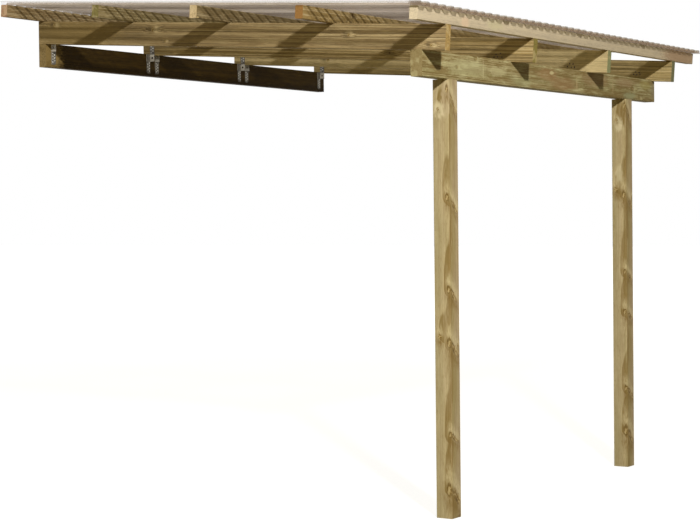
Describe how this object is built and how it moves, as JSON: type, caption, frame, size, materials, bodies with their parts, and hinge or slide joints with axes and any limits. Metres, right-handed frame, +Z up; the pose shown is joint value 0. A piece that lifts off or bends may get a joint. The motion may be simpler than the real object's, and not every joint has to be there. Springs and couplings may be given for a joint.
{
  "type": "lean-to patio cover",
  "caption": "Open timber lean-to cover: wall plate, rafters and battens under corrugated sheets, carried at the front by a beam on square posts.",
  "frame": {"origin": "centre of the back face of the wall plate, where it lies flat on the wall", "axes": "+X from the wall out to the eave, +Y along the wall away from the near side, +Z up"},
  "size_m": [2.6523, 3.382, 2.6928],
  "materials": {
    "post_timber": "planed softwood, pressure treated",
    "frame_timber": "planed softwood, pressure treated",
    "plate_timber": "planed softwood, dark brown",
    "roof_sheet": "smoke grey corrugated plastic",
    "galvanised_steel": "galvanised"
  },
  "bodies": {
    "root": {"post_near": "post_timber", "post_far": "post_timber", "front_beam": "frame_timber", "wall_plate": "plate_timber", "rafter_1": "frame_timber", "rafter_2": "frame_timber", "rafter_3": "frame_timber", "rafter_4": "frame_timber", "batten_1": "frame_timber", "batten_2": "frame_timber", "batten_3": "frame_timber", "batten_4": "frame_timber", "batten_5": "frame_timber", "roof_sheet_1": "roof_sheet", "roof_sheet_2": "roof_sheet", "roof_sheet_3": "roof_sheet", "roof_sheet_4": "roof_sheet", "anchor_1_far": "galvanised_steel", "anchor_2_near": "galvanised_steel", "anchor_2_far": "galvanised_steel", "anchor_3_near": "galvanised_steel", "anchor_3_far": "galvanised_steel", "anchor_4_near": "galvanised_steel"}
  },
  "joints": []
}
